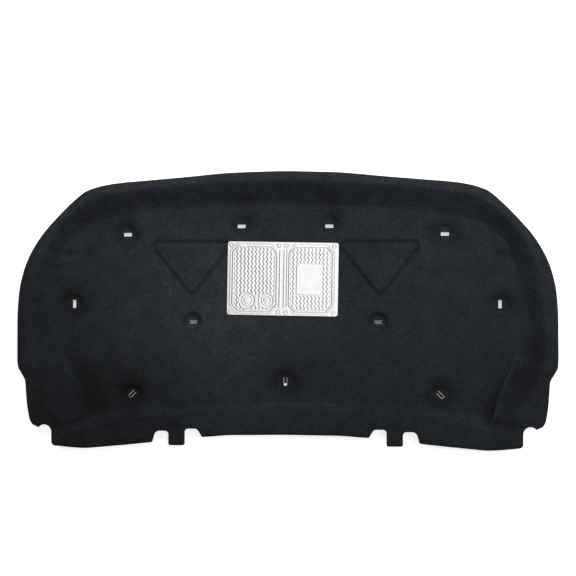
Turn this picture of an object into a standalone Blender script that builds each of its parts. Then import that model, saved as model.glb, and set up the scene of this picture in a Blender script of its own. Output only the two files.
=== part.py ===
# Hood insulation pad: one compression-moulded needle-felt sheet with a bonded foil heat shield.
#
# The pad lies on its back with its engine side up. +Y points to the long crowned edge and -Y to
# the edge with the two tabs. The origin is at the middle of the underside. Sizes are in metres.
# The form is a shallow tray: a flat middle panel, a sloping wall round it and a raised rim.

import math

import bpy
import numpy as np
from mathutils.geometry import delaunay_2d_cdt

# Overall size
PAD_WIDTH = 1.250
PAD_DEPTH = 0.642

# Felt thicknesses: the full middle panel, the pressed rim and the floor of a clip recess
PANEL_THICKNESS = 0.012
RIM_THICKNESS = 0.004
RECESS_THICKNESS = 0.004

# The rim slopes away outwards beyond its lip, most where the wall is highest, and its edge is
# rolled down a little, as pressed felt is at a cut
WALL_CLIMB = 0.022
RIM_SLOPE = 0.22
RIM_ROLL_DROP = 0.0015
RIM_ROLL_WIDTH = 0.007

# Clip recesses: a slot in a flat round floor, with a soft wall up to a wider dish in the panel.
# Each dish is given by its radius and depth.
SLOT_LENGTH = 0.0190
SLOT_WIDTH = 0.0080
SLOT_CORNER = 0.0016
RECESS_FLOOR_RADIUS = 0.0130
RECESS_TOP_RADIUS = 0.0255
WIDE_DISH = (0.052, 0.0065)
SMALL_DISH = (0.034, 0.0040)
TIGHT_DISH = (0.029, 0.0030)

# Troughs that lead from the two upper middle recesses into the wall
TROUGH_LENGTH = 0.044
TROUGH_HALF_WIDTH = 0.040
TROUGH_DEPTH = 0.0065

# Stiffening beads: a three-cornered groove on each side of the foil
BEAD_WIDTH = 0.0130
BEAD_DEPTH = 0.0036
BEAD_CORNER_RADIUS = 0.011
BEAD_FADE = 0.006

# Foil heat shield
FOIL_LENGTH = 0.2566
FOIL_HEIGHT = 0.1695
FOIL_CORNER_RADIUS = 0.006
FOIL_BORDER = 0.0085
FOIL_FLANGE_THICKNESS = 0.0006
FOIL_PANEL_THICKNESS = 0.0014
FOIL_TOP_DROP = 0.1634
FOIL_SHIFT = -0.0055
FOIL_TURN = math.radians(-1.0)
FOIL_CLEARANCE = 0.0003

# Tabs on the lower edge
TAB_CENTRE = 0.2530
TAB_WIDTH = 0.0380
TAB_END = 0.0073
TAB_CORNER_RADIUS = 0.005
TAB_WELL_RISE = 0.056
TAB_WELL_RADII = (0.028, 0.022)
TAB_WELL_DEPTH = 0.005

# Arched cut-outs on both sides of a tab
OUTER_ARCH_WIDTH = 0.0305
OUTER_ARCH_TOP = 0.0408
OUTER_ARCH_RADIUS = 0.013
OUTER_ARCH_FLARE = 0.0075
OUTER_ARCH_FOOT = 0.0142
INNER_ARCH_WIDTH = 0.0288
INNER_ARCH_TOP = 0.0459
INNER_ARCH_RADIUS = 0.010
INNER_ARCH_FLARE = 0.0117
INNER_ARCH_FOOT = 0.0268
ARCH_CORNER_RADIUS = 0.008
ARCH_FOOT_RADIUS = 0.004

# Round bite between the side lobe and the lower edge
BITE_INSET = 0.0625
BITE_RISE = 0.0380
BITE_RADIUS = 0.0165
BITE_START = math.radians(38)
LOWER_CORNER_RISE = 0.0062
LOWER_CORNER_RADIUS = 0.009

# Mesh steps
CURVE_PIECES = 24
WALL_PIECES = 10
OUTLINE_STEP = 0.013
CORNER_STEP = 0.0045
RING_STEP = 0.020
RING_SHARES = (0.0, 1.0, 0.5, 0.25, 0.75)
RING_SPACING = 0.0065
GRID_STEP = 0.055
GRID_SPACING = 0.018
BEAD_STEP = 0.016
WING_STEP = 0.014
BEAD_SPACING = 0.003
CIRCLE_POINTS = 16
SMALLEST_THICKNESS = 0.003


# Places, each measured from the edges that it keeps its distance to


def from_top(across, drop):
    """A point by its distance from the centre line and from the top edge."""
    return across, PAD_DEPTH / 2 - drop


def from_shoulder(inset, drop):
    """A point by its distance from the side edge and from the top edge."""
    return PAD_WIDTH / 2 - inset, PAD_DEPTH / 2 - drop


def from_lobe(inset, rise):
    """A point by its distance from the side edge and from the bottom edge."""
    return PAD_WIDTH / 2 - inset, rise - PAD_DEPTH / 2


def from_bottom(across, rise):
    """A point by its distance from the centre line and from the bottom edge."""
    return across, rise - PAD_DEPTH / 2


# The crowned edge, the shoulder and the side, from the centre line down to the tip of the lobe
CROWN = (
    from_top(0.0, 0.0),
    from_top(0.069, 0.0014),
    from_top(0.1385, 0.0042),
    from_top(0.225, 0.0123),
    from_top(0.331, 0.0213),
    from_shoulder(0.252, 0.0247),
    from_shoulder(0.210, 0.0305),
    from_shoulder(0.175, 0.0400),
    from_shoulder(0.150, 0.0535),
    from_shoulder(0.1054, 0.0951),
    from_shoulder(0.0560, 0.1510),
    from_shoulder(0.0243, 0.2060),
    from_shoulder(0.0073, 0.2615),
    from_shoulder(0.0012, 0.3170),
    from_lobe(0.0002, 0.2600),
    from_lobe(0.0003, 0.1960),
    from_lobe(0.0073, 0.1776),
    from_lobe(0.0178, 0.1590),
    from_lobe(0.0200, 0.1380),
    from_lobe(0.0224, 0.1037),
    from_lobe(0.0276, 0.0690),
    from_lobe(0.0345, 0.0545),
)

# The lower edge between the round bite and the outer arch, where it hangs lowest
LOWER_EDGE = (
    from_lobe(0.1126, 0.0027),
    from_lobe(0.1400, 0.0005),
    from_lobe(0.1630, 0.0),
    from_lobe(0.1860, 0.0018),
    from_lobe(0.2210, 0.0050),
    from_lobe(0.2560, 0.0082),
)

# The lower edge between the two inner arches, from the right to the centre line
MIDDLE_EDGE = (
    from_bottom(0.1780, 0.0276),
    from_bottom(0.1600, 0.0290),
    from_bottom(0.1300, 0.0312),
    from_bottom(0.0690, 0.0320),
    from_bottom(0.0, 0.0327),
)

# The wall, from the top centre round the right side to the bottom centre. Each station gives
# the wall's foot, the lip that it climbs to and how far it climbs.
WALL_STATIONS = (
    (from_top(0.0, 0.0769), from_top(0.0, 0.0203), WALL_CLIMB),
    (from_top(0.1385, 0.0792), from_top(0.1385, 0.0238), WALL_CLIMB),
    (from_top(0.2660, 0.0872), from_top(0.2700, 0.0337), WALL_CLIMB),
    (from_top(0.3210, 0.0900), from_top(0.3300, 0.0390), WALL_CLIMB),
    (from_shoulder(0.2130, 0.1085), from_shoulder(0.1980, 0.0538), WALL_CLIMB),
    (from_shoulder(0.1610, 0.1270), from_shoulder(0.1500, 0.0780), WALL_CLIMB),
    (from_shoulder(0.1200, 0.1613), from_shoulder(0.1010, 0.1230), WALL_CLIMB),
    (from_shoulder(0.1020, 0.2070), from_shoulder(0.0642, 0.1784), WALL_CLIMB),
    (from_shoulder(0.0884, 0.2527), from_shoulder(0.0434, 0.2338), 0.021),
    (from_lobe(0.0725, 0.3280), from_lobe(0.0380, 0.3460), 0.020),
    (from_lobe(0.0640, 0.2770), from_lobe(0.0280, 0.2770), 0.020),
    (from_lobe(0.0803, 0.2250), from_lobe(0.0307, 0.2240), 0.019),
    (from_lobe(0.0872, 0.1731), from_lobe(0.0399, 0.1685), 0.018),
    (from_lobe(0.0757, 0.1223), from_lobe(0.0422, 0.1154), 0.016),
    (from_lobe(0.0803, 0.0935), from_lobe(0.0572, 0.0796), 0.013),
    (from_lobe(0.1057, 0.0715), from_lobe(0.0884, 0.0508), 0.011),
    (from_lobe(0.1426, 0.0610), from_lobe(0.1380, 0.0404), 0.009),
    (from_lobe(0.1842, 0.0727), from_lobe(0.1865, 0.0531), 0.008),
    (from_lobe(0.2326, 0.0854), from_lobe(0.2326, 0.0646), 0.008),
    (from_lobe(0.2673, 0.0923), from_lobe(0.2673, 0.0707), 0.006),
    (from_bottom(0.3139, 0.0992), from_bottom(0.3139, 0.0768), 0.005),
    (from_bottom(0.2539, 0.1004), from_bottom(0.2539, 0.0782), 0.004),
    (from_bottom(0.1514, 0.1039), from_bottom(0.1514, 0.0829), 0.003),
    (from_bottom(0.0, 0.1073), from_bottom(0.0, 0.0863), 0.003),
)

# How much of the wall's slope is straight; the rest is rounded at its foot and lip
WALL_STRAIGHTNESS = 0.7

# A wing in each lower corner: a shelf between the wall and a slightly bowed ridge. The ridge
# starts at the wall's foot, its inner bank is widest at its lower end, and the panel falls into a
# valley towards the bank.
WING_RIDGE = (from_lobe(0.0884, 0.2250), from_lobe(0.1449, 0.0785))
WING_BOW = 0.0056
WING_BANK_WIDTHS = (0.013, 0.027)
WING_RIDGE_CLIMB = 0.0050
WING_OUTER_CLIMB = 0.0180
WING_SHELF_WIDTH = 0.055
WING_CREST_HEIGHT = 0.0020
WING_CREST_HALF_WIDTH = 0.0055
WING_START = 0.045
WING_END = 0.030
VALLEY_DEPTH = 0.0080
VALLEY_REACH = 0.105
VALLEY_LEAD = 0.030

# Clip slots on the right half and the centre line: middle, turn and dish
CLIP_SLOTS = {
    "shoulder": (from_shoulder(0.2567, 0.1449), 0.0, WIDE_DISH),
    "upper_middle": (from_top(0.1018, 0.1262), 0.0, SMALL_DISH),
    "middle": (from_top(0.2158, 0.3482), 0.0, TIGHT_DISH),
    "side": (from_shoulder(0.1305, 0.3066), math.pi / 2, WIDE_DISH),
    "lower_middle": (from_bottom(0.0, 0.1554), math.pi / 2, WIDE_DISH),
    "lower": (from_lobe(0.2670, 0.1257), -math.pi / 4, WIDE_DISH),
}

# Shallow pocket at the wall's foot below each shoulder
POCKET_CENTRE = from_shoulder(0.1230, 0.1930)
POCKET_RADII = (0.032, 0.018)
POCKET_DEPTH = 0.0055

# Low fold beside the outer side of each bead
FOLD = (from_top(0.316, 0.167), from_top(0.302, 0.229), from_top(0.275, 0.275))
FOLD_HEIGHT = 0.0020
FOLD_HALF_WIDTH = 0.012

# Corners of the right bead, before they are rounded. Its top side is level with the foil's.
BEAD_CORNERS = (
    from_top(0.1180, FOIL_TOP_DROP),
    from_top(0.3185, FOIL_TOP_DROP),
    from_top(0.2180, FOIL_TOP_DROP + 0.1270),
)

FOIL_CENTRE = from_top(FOIL_SHIFT, FOIL_TOP_DROP + FOIL_HEIGHT / 2)


# Plane curves, as arrays of points


def smooth_line(points, pieces, closed=False):
    """Points along a Catmull-Rom curve, with the same number of pieces in every span."""
    knots = np.array(points, float)
    count = len(knots)
    spans = count if closed else count - 1
    along = np.linspace(0, 1, pieces, endpoint=False)[:, None]
    curve = []
    for i in range(spans):
        if closed:
            a, b, c, d = (knots[(i + k) % count] for k in (-1, 0, 1, 2))
        else:
            b, c = knots[i], knots[i + 1]
            a = knots[i - 1] if i > 0 else 2 * b - c
            d = knots[i + 2] if i + 2 < count else 2 * c - b
        cubic = 3 * (b - c) + d - a
        square = 2 * a - 5 * b + 4 * c - d
        curve.append(0.5 * (2 * b + (c - a) * along + square * along**2 + cubic * along**3))
    if not closed:
        curve.append(knots[-1:])
    return np.concatenate(curve)


def even_line(points, step):
    """The same open line with its points a step apart."""
    lengths = np.r_[0, np.cumsum(np.linalg.norm(np.diff(points, axis=0), axis=1))]
    count = max(2, round(lengths[-1] / step) + 1)
    at = np.linspace(0, lengths[-1], count)
    return np.c_[np.interp(at, lengths, points[:, 0]), np.interp(at, lengths, points[:, 1])]


def arc(centre, radius, start, end, step):
    """Points along a circular arc, ends included."""
    count = max(3, math.ceil(abs(end - start) * radius / step) + 1)
    angles = np.linspace(start, end, count)
    return np.c_[centre[0] + radius * np.cos(angles), centre[1] + radius * np.sin(angles)]


def rounded(corners, step, closed=False):
    """A line through corners given as (x, y, radius), each replaced by an arc of its radius."""
    points = np.array([corner[:2] for corner in corners], float)
    count = len(points)
    line = []
    for i, (corner, (_, _, radius)) in enumerate(zip(points, corners)):
        if not closed and i in (0, count - 1):
            line.append(corner[None])
            continue
        back = points[i - 1] - corner
        ahead = points[(i + 1) % count] - corner
        back /= np.linalg.norm(back)
        ahead /= np.linalg.norm(ahead)
        half = math.acos(max(-1.0, min(1.0, float(back @ ahead)))) / 2
        middle = corner + (back + ahead) / np.linalg.norm(back + ahead) * radius / math.sin(half)
        first = corner + back * radius / math.tan(half) - middle
        start = math.atan2(first[1], first[0])
        turn = math.pi - 2 * half
        if back[0] * ahead[1] - back[1] * ahead[0] > 0:
            turn = -turn
        line.append(arc(middle, radius, start, start + turn, step))
    return np.concatenate(line)


def mirrored(points):
    """The same points on the other side of the centre line, in the opposite order."""
    return np.array(points, float)[::-1] * (-1, 1)


def both_sides(half):
    """A half line that starts on the centre line, led in by its mirror image."""
    return np.concatenate((mirrored(half)[:-1], np.array(half, float)))


def pad_outline(step, corner_step):
    """The cut edge of the pad, clockwise from the left lobe."""
    crown = even_line(smooth_line(both_sides(CROWN), CURVE_PIECES), step)
    bite_centre = from_lobe(BITE_INSET, BITE_RISE)
    bite = arc(bite_centre, BITE_RADIUS, BITE_START, math.pi, corner_step)
    lower_corner = from_lobe(BITE_INSET + BITE_RADIUS, LOWER_CORNER_RISE)
    tab_out = TAB_CENTRE + TAB_WIDTH / 2
    tab_in = TAB_CENTRE - TAB_WIDTH / 2
    outer_foot = tab_out + OUTER_ARCH_WIDTH + OUTER_ARCH_FLARE
    inner_foot = tab_in - INNER_ARCH_WIDTH - INNER_ARCH_FLARE
    lower = even_line(smooth_line(LOWER_EDGE, CURVE_PIECES), step)
    corner = rounded(
        (
            (*bite[-1], 0),
            (*lower_corner, LOWER_CORNER_RADIUS),
            (*lower[0], 0),
        ),
        corner_step,
    )
    middle = even_line(smooth_line(both_sides(MIDDLE_EDGE[::-1]), CURVE_PIECES)[::-1], step)
    tab = rounded(
        (
            (*lower[-1], 0),
            (*from_bottom(outer_foot, OUTER_ARCH_FOOT), ARCH_FOOT_RADIUS),
            (*from_bottom(outer_foot - OUTER_ARCH_FLARE, OUTER_ARCH_TOP), OUTER_ARCH_RADIUS),
            (*from_bottom(tab_out, OUTER_ARCH_TOP), ARCH_CORNER_RADIUS),
            (*from_bottom(tab_out, TAB_END), TAB_CORNER_RADIUS),
            (*from_bottom(tab_in, TAB_END), TAB_CORNER_RADIUS),
            (*from_bottom(tab_in, INNER_ARCH_TOP), ARCH_CORNER_RADIUS),
            (*from_bottom(inner_foot + INNER_ARCH_FLARE, INNER_ARCH_TOP), INNER_ARCH_RADIUS),
            (*from_bottom(inner_foot, INNER_ARCH_FOOT), ARCH_FOOT_RADIUS),
            (*middle[0], 0),
        ),
        corner_step,
    )
    right = np.concatenate((bite, corner[1:-1], lower, tab[1:-1]))
    return np.concatenate((crown, right, middle, mirrored(right)))


def rounded_box(length, width, radius):
    """A rectangle with rounded corners about the origin, anticlockwise."""
    x, y = length / 2, width / 2
    corners = ((x, y, radius), (-x, y, radius), (-x, -y, radius), (x, -y, radius))
    return rounded(corners, radius, closed=True)


def slot_outline(middle, turn):
    """The edge of a clip slot, clockwise."""
    cos, sin = math.cos(turn), math.sin(turn)
    box = rounded_box(SLOT_LENGTH, SLOT_WIDTH, SLOT_CORNER)
    return (box @ np.array(((cos, sin), (-sin, cos))) + middle)[::-1]


def all_slots():
    """Every clip slot as (name, middle, turn, dish), the mirrored ones included."""
    slots = []
    for name, (middle, turn, dish) in CLIP_SLOTS.items():
        if middle[0] == 0:
            slots.append((name, middle, turn, dish))
            continue
        slots.append((f"{name}_right", middle, turn, dish))
        slots.append((f"{name}_left", (-middle[0], middle[1]), -turn, dish))
    return slots


def bead_line(step):
    """The middle line of the right bead, closed."""
    return rounded([(*corner, BEAD_CORNER_RADIUS) for corner in BEAD_CORNERS], step, True)


def wall_lines(pieces):
    """The wall's foot and lip as matching closed lines, with the climb at each point."""
    foot, lip, climb = zip(*WALL_STATIONS)
    lines = []
    for right in (foot, lip, [(0, value) for value in climb]):
        right = np.array(right, float)
        left = right[-2:0:-1] * (-1, 1)
        lines.append(smooth_line(np.concatenate((right, left)), pieces, closed=True))
    return lines[0], lines[1], lines[2][:, 1]


# Measures of points against those curves


def nearest(points, line, closed=True):
    """For each point, its distance to a line and where on the line it is nearest, in segments."""
    start = line
    end = np.roll(line, -1, axis=0) if closed else line[1:]
    start = start if closed else line[:-1]
    best = np.full(len(points), np.inf)
    place = np.zeros(len(points))
    for i, (a, b) in enumerate(zip(start, end)):
        run = b - a
        share = np.clip((points - a) @ run / max(run @ run, 1e-18), 0, 1)
        away = np.hypot(*(points - a - share[:, None] * run).T)
        closer = away < best
        best[closer] = away[closer]
        place[closer] = i + share[closer]
    return best, place


def inside(points, line):
    """Which points lie inside a closed line."""
    x, y = points.T
    found = np.zeros(len(points), bool)
    for (ax, ay), (bx, by) in zip(line, np.roll(line, -1, axis=0)):
        if ay == by:
            continue
        crosses = (ay > y) != (by > y)
        found ^= crosses & (x < ax + (y - ay) / (by - ay) * (bx - ax))
    return found


def ease(share):
    """A smooth step from 0 to 1."""
    share = np.clip(share, 0, 1)
    return share * share * (3 - 2 * share)


def dent(distance, radius):
    """1 at the middle of a round dent, falling smoothly to 0 at its radius."""
    return 1 - ease(distance / radius)


# The form of the felt


def wall_share(points):
    """How far up the wall each point is, from 0 at its foot to 1 at its lip, how far it is
    outside the lip, and how far the wall climbs there."""
    foot, lip, climbs = wall_lines(WALL_PIECES)
    to_foot, _ = nearest(points, foot)
    to_lip, place = nearest(points, lip)
    outside = ~inside(points, lip)
    share = to_foot / np.maximum(to_foot + to_lip, 1e-9)
    share[inside(points, foot)] = 0
    share[outside] = 1
    climb = np.interp(place, np.arange(len(climbs) + 1), (*climbs, climbs[0]))
    return share, to_lip * outside, climb


def wing_form(half):
    """How high a corner wing raises each point, and how far the panel falls beside its ridge."""
    start, end = np.array(WING_RIDGE)
    length = np.linalg.norm(end - start)
    down = (end - start) / length
    along = (half - start) @ down
    part = np.clip(along / length, 0, 1)
    across = (half - start) @ (-down[1], down[0]) + WING_BOW * 4 * part * (1 - part)
    bank = ease(1 + across / np.interp(part, (0, 1), WING_BANK_WIDTHS))
    shelf = np.clip(across / WING_SHELF_WIDTH, 0, 1)
    level = WING_RIDGE_CLIMB + (WING_OUTER_CLIMB - WING_RIDGE_CLIMB) * shelf
    level += WING_CREST_HEIGHT * dent(np.abs(across), WING_CREST_HALF_WIDTH)
    out = ease((length + WING_END - along) / WING_END)
    fall = ease(1 + across / VALLEY_REACH) * (1 - bank) * ease((along + VALLEY_LEAD) / length)
    return level * bank * ease(along / WING_START) * out, VALLEY_DEPTH * fall * out


def pressed_form(points):
    """Heights of the top and the underside, before recesses and beads are pressed in."""
    share, outside, climb = wall_share(points)
    wing, fall = wing_form(np.c_[np.abs(points[:, 0]), points[:, 1]])
    rise = WALL_STRAIGHTNESS * share + (1 - WALL_STRAIGHTNESS) * ease(share)
    level = wing + (climb - wing) * rise - fall
    to_edge, _ = nearest(points, pad_outline(OUTLINE_STEP, CORNER_STEP))
    slope = RIM_SLOPE * (climb / WALL_CLIMB) ** 2
    roll = RIM_ROLL_DROP * np.clip(1 - to_edge / RIM_ROLL_WIDTH, 0, 1) ** 2
    top = PANEL_THICKNESS + level - slope * outside - roll * share
    thickness = PANEL_THICKNESS + (RIM_THICKNESS - PANEL_THICKNESS) * ease(share)
    return top, np.maximum(top - thickness, 0)


def foil_distance(points):
    """How far each point is outside the foil's rectangle, 0 under the foil."""
    cos, sin = math.cos(FOIL_TURN), math.sin(FOIL_TURN)
    local = np.abs((points - FOIL_CENTRE) @ np.array(((cos, -sin), (sin, cos))))
    outside = np.maximum(local - (FOIL_LENGTH / 2, FOIL_HEIGHT / 2), 0)
    return np.hypot(*outside.T)


def felt_top(points):
    """Heights of the engine side, with every recess, dish, trough, bead and well."""
    top, under = pressed_form(points)
    half = np.c_[np.abs(points[:, 0]), points[:, 1]]
    to_bead, _ = nearest(half, bead_line(BEAD_SPACING))
    shown = ease(foil_distance(points) / BEAD_FADE)
    top -= BEAD_DEPTH * dent(to_bead, BEAD_WIDTH / 2) * shown
    top -= POCKET_DEPTH * dent(np.hypot(*((half - POCKET_CENTRE) / POCKET_RADII).T), 1.0)
    well = (half - from_bottom(TAB_CENTRE, TAB_WELL_RISE)) / TAB_WELL_RADII
    top -= TAB_WELL_DEPTH * dent(np.hypot(*well.T), 1.0)
    trough_start = np.array(CLIP_SLOTS["upper_middle"][0])
    trough_end = trough_start + (0, TROUGH_LENGTH)
    to_trough, _ = nearest(half, np.array((trough_start, trough_end)), closed=False)
    top -= TROUGH_DEPTH * dent(to_trough, TROUGH_HALF_WIDTH)
    to_fold, _ = nearest(half, np.array(FOLD), closed=False)
    top += FOLD_HEIGHT * dent(to_fold, FOLD_HALF_WIDTH)
    top = np.maximum(top, under + SMALLEST_THICKNESS)
    for _, middle, _, (dish_radius, dish_depth) in all_slots():
        away = np.hypot(*(points - middle).T)
        top -= dish_depth * dent(away, dish_radius)
        wall = (away - RECESS_FLOOR_RADIUS) / (RECESS_TOP_RADIUS - RECESS_FLOOR_RADIUS)
        pressed = 1 - ease(wall)
        top += (RECESS_THICKNESS - top) * pressed
    return top


def felt_under(points):
    """Heights of the back."""
    return pressed_form(points)[1]


# Meshes


def thinned(fixed, groups):
    """Points kept in order of importance, each at least its group's spacing from those before."""
    kept = list(fixed)
    for points, spacing in groups:
        for point in points:
            gaps = np.hypot(*(np.array(kept) - point).T)
            if gaps.min() >= spacing:
                kept.append(point)
    return np.array(kept)


def filled(loops, points):
    """Triangles inside the first loop and outside the others, over all the points."""
    edges = []
    first = 0
    for loop in loops:
        count = len(loop)
        edges += [(first + i, first + (i + 1) % count) for i in range(count)]
        first += count
    flat, _, faces, origins, _, _ = delaunay_2d_cdt(points.tolist(), edges, [], 0, 1e-7)
    flat = np.array([tuple(point) for point in flat])
    centres = flat[np.array(faces)].mean(axis=1)
    keep = inside(centres, loops[0])
    for loop in loops[1:]:
        keep &= ~inside(centres, loop)
    place = {origin: i for i, found in enumerate(origins) for origin in found}
    order = [place[i] for i in range(first)]
    return flat, np.array(faces)[keep], order


def sheet(name, loops, top_points, top_height, under_points, under_height):
    """A closed sheet between two height functions, with upright cut edges along the loops.

    Each loop has the sheet on its left.
    """
    top_flat, top_faces, top_rim = filled(loops, top_points)
    under_flat, under_faces, under_rim = filled(loops, under_points)
    top = np.c_[top_flat, top_height(top_flat)]
    under = np.c_[under_flat, under_height(under_flat)]
    shift = len(top)
    faces = [tuple(face) for face in top_faces.tolist()]
    faces += [tuple(shift + i for i in reversed(face)) for face in under_faces.tolist()]
    first = 0
    for loop in loops:
        count = len(loop)
        for i in range(first, first + count):
            j = first + (i - first + 1) % count
            faces.append((top_rim[i], shift + under_rim[i], shift + under_rim[j], top_rim[j]))
        first += count
    mesh = bpy.data.meshes.new(name)
    mesh.from_pydata(np.concatenate((top, under)).tolist(), [], faces)
    mesh.validate()
    made = bpy.data.objects.new(name, mesh)
    bpy.context.scene.collection.objects.link(made)
    return made


def paint(thing, name, colour, roughness, metallic):
    """One plain material for a piece."""
    material = bpy.data.materials.new(name)
    material.use_nodes = True
    shader = material.node_tree.nodes["Principled BSDF"]
    shader.inputs["Base Color"].default_value = (*colour, 1)
    shader.inputs["Roughness"].default_value = roughness
    shader.inputs["Metallic"].default_value = metallic
    thing.data.materials.append(material)


def recess_rings():
    """Points on the floor, the wall and the top of each clip recess."""
    angles = np.linspace(0, 2 * math.pi, CIRCLE_POINTS, endpoint=False)
    ring = np.c_[np.cos(angles), np.sin(angles)]
    rings = []
    for _, middle, _, (dish_radius, _) in all_slots():
        between = (RECESS_FLOOR_RADIUS + RECESS_TOP_RADIUS) / 2
        outer = (RECESS_TOP_RADIUS + dish_radius) / 2
        for radius in (RECESS_FLOOR_RADIUS, between, RECESS_TOP_RADIUS, outer, dish_radius):
            rings.append(ring * radius + middle)
    return np.concatenate(rings)


def bead_points():
    """Points along the middle and both sides of each bead."""
    middle = bead_line(BEAD_SPACING)
    middle = even_line(np.concatenate((middle, middle[:1])), BEAD_STEP)[:-1]
    run = np.roll(middle, -1, axis=0) - np.roll(middle, 1, axis=0)
    across = np.c_[-run[:, 1], run[:, 0]] / np.linalg.norm(run, axis=1)[:, None] * BEAD_WIDTH / 2
    right = np.concatenate((middle, middle + across, middle - across))
    right = right[foil_distance(right) > BEAD_SPACING]
    return np.concatenate((right, right * (-1, 1)))


def wing_points():
    """Points along each wing's ridge, its crest, its bank and the valley beside it."""
    start, end = np.array(WING_RIDGE)
    length = np.linalg.norm(end - start)
    down = (end - start) / length
    side = np.array((-down[1], down[0]))
    along = np.arange(0, length + WING_END, WING_STEP)[:, None]
    part = np.clip(along / length, 0, 1)
    ridge = start + down * along - side * WING_BOW * 4 * part * (1 - part)
    bank = np.interp(part, (0, 1), WING_BANK_WIDTHS)
    rows = [ridge + side * offset for offset in (0, WING_CREST_HALF_WIDTH, -WING_CREST_HALF_WIDTH)]
    rows += [ridge - side * bank, ridge - side * bank * 2]
    right = np.concatenate(rows)
    return np.concatenate((right, right * (-1, 1)))


def wall_rings():
    """Points on lines that run round the pad, from the foot of its wall to its lip."""
    foot, lip, _ = wall_lines(WALL_PIECES)
    rings = []
    for share in RING_SHARES:
        ring = foot * (1 - share) + lip * share
        rings.append(even_line(np.concatenate((ring, ring[:1])), RING_STEP)[:-1])
    return np.concatenate(rings)


def plain_grid():
    """A plain grid over the pad's whole box."""
    x = np.arange(-PAD_WIDTH / 2, PAD_WIDTH / 2, GRID_STEP) + GRID_STEP / 2
    y = np.arange(-PAD_DEPTH / 2, PAD_DEPTH / 2, GRID_STEP) + GRID_STEP / 2
    return np.stack(np.meshgrid(x, y), axis=-1).reshape(-1, 2)


def in_pad(points, outline, margin):
    """Those of the points that lie inside the pad's cut edge by more than a margin."""
    away, _ = nearest(points, outline)
    return points[inside(points, outline) & (away > margin)]


def felt_pad():
    """The moulded felt, with its rim, recesses, beads and slots."""
    outline = pad_outline(OUTLINE_STEP, CORNER_STEP)
    loops = [outline[::-1], *(slot_outline(middle, turn) for _, middle, turn, _ in all_slots())]
    edge = np.concatenate(loops)
    rings = (in_pad(wall_rings(), outline, CORNER_STEP), RING_SPACING)
    grid = (in_pad(plain_grid(), outline, GRID_SPACING), GRID_SPACING)
    details = (np.concatenate((recess_rings(), bead_points(), wing_points())), BEAD_SPACING)
    top_points = thinned(edge, (details, rings, grid))
    under_points = thinned(edge, (rings, grid))
    pad = sheet("felt_pad", loops, top_points, felt_top, under_points, felt_under)
    paint(pad, "felt", (0.0190, 0.0215, 0.0245), 0.95, 0.0)


def foil_heat_shield():
    """The foil patch: a flat flange bonded to the felt, and a raised panel inside it."""
    slope = FOIL_PANEL_THICKNESS - FOIL_FLANGE_THICKNESS
    insets = (0, 0, FOIL_BORDER, FOIL_BORDER + slope)
    heights = (0, FOIL_FLANGE_THICKNESS, FOIL_FLANGE_THICKNESS, FOIL_PANEL_THICKNESS)
    rings = []
    for inset, height in zip(insets, heights):
        ring = rounded_box(FOIL_LENGTH, FOIL_HEIGHT, FOIL_CORNER_RADIUS)
        ring *= (1 - 2 * inset / FOIL_LENGTH, 1 - 2 * inset / FOIL_HEIGHT)
        rings.append(np.c_[ring, np.full(len(ring), height)])
    count = len(rings[0])
    faces = [tuple(range(count))[::-1]]
    for first in range(0, 3 * count, count):
        for i in range(count):
            j = (i + 1) % count
            faces.append((first + i, first + j, first + count + j, first + count + i))
    faces.append(tuple(range(3 * count, 4 * count)))
    mesh = bpy.data.meshes.new("foil_heat_shield")
    mesh.from_pydata(np.concatenate(rings).tolist(), [], faces)
    foil = bpy.data.objects.new("foil_heat_shield", mesh)
    foil.location = (*FOIL_CENTRE, PANEL_THICKNESS + FOIL_CLEARANCE)
    foil.rotation_euler.z = FOIL_TURN
    bpy.context.scene.collection.objects.link(foil)
    paint(foil, "foil", (0.87, 0.88, 0.89), 0.32, 1.0)


for thing in list(bpy.data.objects):
    bpy.data.objects.remove(thing)
felt_pad()
foil_heat_shield()
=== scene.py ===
import math

import bpy
import numpy as np
from mathutils.geometry import delaunay_2d_cdt
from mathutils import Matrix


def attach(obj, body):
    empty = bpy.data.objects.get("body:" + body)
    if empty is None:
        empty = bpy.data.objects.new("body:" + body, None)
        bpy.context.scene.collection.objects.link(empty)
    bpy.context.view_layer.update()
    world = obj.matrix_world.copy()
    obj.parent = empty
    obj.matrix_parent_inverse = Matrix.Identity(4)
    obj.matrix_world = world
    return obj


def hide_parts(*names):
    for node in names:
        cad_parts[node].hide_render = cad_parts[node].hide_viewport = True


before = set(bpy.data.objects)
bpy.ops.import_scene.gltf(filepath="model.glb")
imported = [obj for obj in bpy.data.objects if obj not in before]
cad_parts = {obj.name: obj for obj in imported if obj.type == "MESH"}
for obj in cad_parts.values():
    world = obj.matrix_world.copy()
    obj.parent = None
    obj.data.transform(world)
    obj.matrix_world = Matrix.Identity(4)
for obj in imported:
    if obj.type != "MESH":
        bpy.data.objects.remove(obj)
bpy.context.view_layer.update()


# Felt pad, the blank. One sheet of dark needle felt, laid over a die and pressed hot. The die cut
# runs round the pad with an arch on both sides of each tab and a round bite in each lower corner.
pad_width = 1.250
pad_depth = 0.642


def from_top(across, drop):
    """A point by its distance from the centre line and from the crowned edge."""
    return across, pad_depth / 2 - drop


def from_shoulder(inset, drop):
    """A point by its distance from the side and from the crowned edge."""
    return pad_width / 2 - inset, pad_depth / 2 - drop


def from_lobe(inset, rise):
    """A point by its distance from the side and from the lower edge."""
    return pad_width / 2 - inset, rise - pad_depth / 2


def from_bottom(across, rise):
    """A point by its distance from the centre line and from the lower edge."""
    return across, rise - pad_depth / 2


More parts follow.
